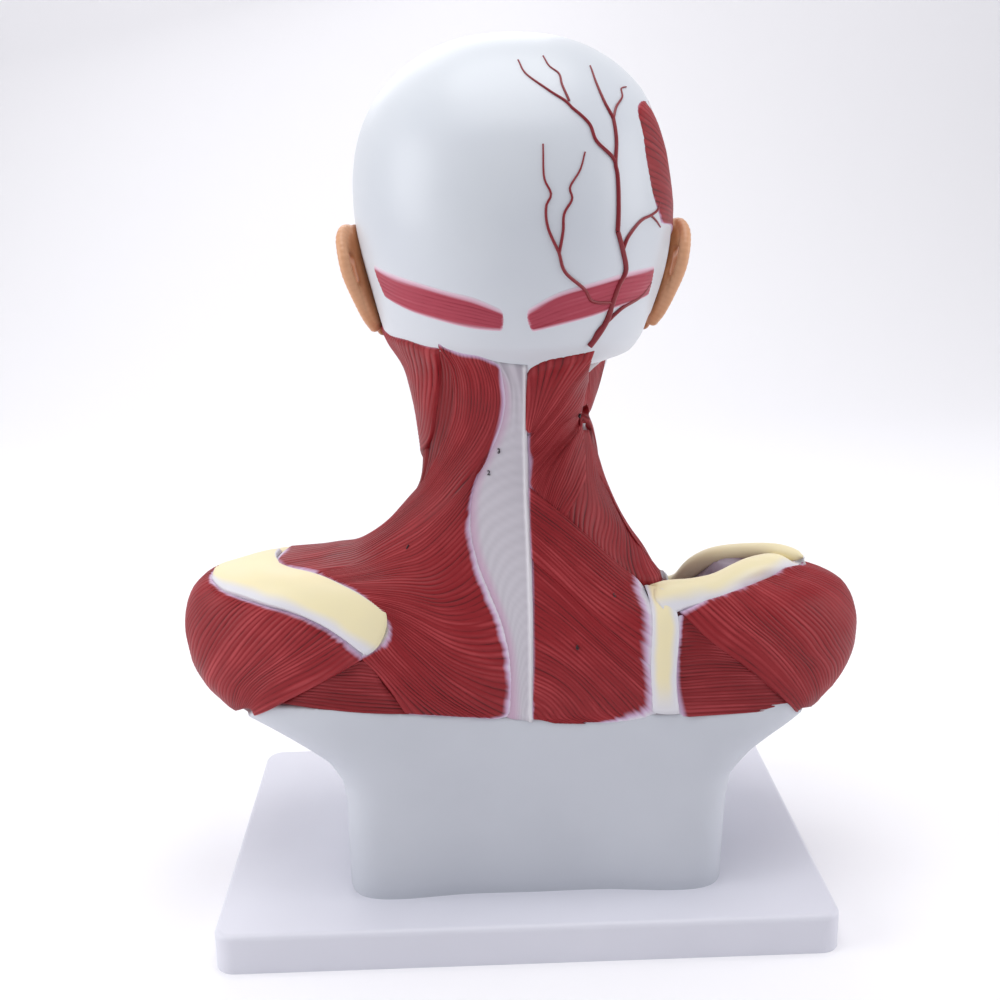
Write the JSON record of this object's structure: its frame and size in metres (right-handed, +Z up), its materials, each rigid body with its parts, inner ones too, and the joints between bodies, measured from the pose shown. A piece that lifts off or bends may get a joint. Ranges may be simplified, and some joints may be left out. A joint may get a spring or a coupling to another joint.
{
  "type": "anatomical head model",
  "caption": "Life-size anatomical head and shoulders: white skull, painted red muscles, yellow shoulder bones, ears and arteries on a white pedestal and flat rectangular base.",
  "frame": {"origin": "centre of the base's flat underside", "axes": "+Z up from the base to the crown, the face looks along -Y, +X points to the model's own left"},
  "size_m": [0.3522, 0.216, 0.443],
  "materials": {
    "base_white": "smooth white paint, semi-matt",
    "cast_white": "smooth white casting, matt",
    "muscle_red": "painted fibre relief, satin",
    "band_pink": "airbrushed pink over white, satin",
    "ligament_grey": "grey-white with fine lines, satin",
    "bone_ivory": "ivory yellow paint, satin",
    "ear_skin": "skin-brown paint, matt",
    "eye_gloss": "glossy painted eye",
    "artery_red": "dark red paint, gloss",
    "screw_steel": "zinc-plated steel"
  },
  "bodies": {
    "root": {"base_plate": "base_white", "breastbone": "bone_ivory", "bust_casting": "cast_white", "cheek_muscle_left": "muscle_red", "cheek_muscle_right": "muscle_red", "chewing_muscle_left": "muscle_red", "chewing_muscle_right": "muscle_red", "clavicle_left": "bone_ivory", "clavicle_right": "bone_ivory", "deltoid_left": "muscle_red", "deltoid_right": "muscle_red", "ear_artery": "artery_red", "ear_left": "ear_skin", "ear_right": "ear_skin", "eye_ring_muscle_left": "muscle_red", "eye_ring_muscle_right": "muscle_red", "eyeball_left": "eye_gloss", "eyeball_right": "eye_gloss", "frontal_muscle": "muscle_red", "greater_rhomboid": "muscle_red", "infraspinatus_left": "muscle_red", "infraspinatus_right": "muscle_red", "lesser_rhomboid": "muscle_red", "levator_scapulae": "muscle_red", "mouth_floor_muscle": "muscle_red", "mouth_ring_muscle": "muscle_red", "neck_strap_left": "muscle_red", "neck_strap_right": "muscle_red", "nuchal_ligament": "ligament_grey", "occipital_artery": "artery_red", "occipital_band_left": "band_pink", "occipital_band_right": "band_pink", "pectoral_left": "muscle_red", "pectoral_right": "muscle_red", "scalene_left": "muscle_red", "scalene_right": "muscle_red", "scapula_right": "bone_ivory", "scapula_spine_left": "bone_ivory", "screw_1": "screw_steel", "screw_2": "screw_steel", "screw_3": "screw_steel", "screw_4": "screw_steel", "semispinalis": "muscle_red", "skull_casting": "cast_white", "splenius_left": "muscle_red", "splenius_right": "muscle_red", "sternohyoid_left": "muscle_red", "sternohyoid_right": "muscle_red", "temporal_muscle_right": "muscle_red", "trapezius_left": "muscle_red", "windpipe": "bone_ivory"}
  },
  "joints": []
}
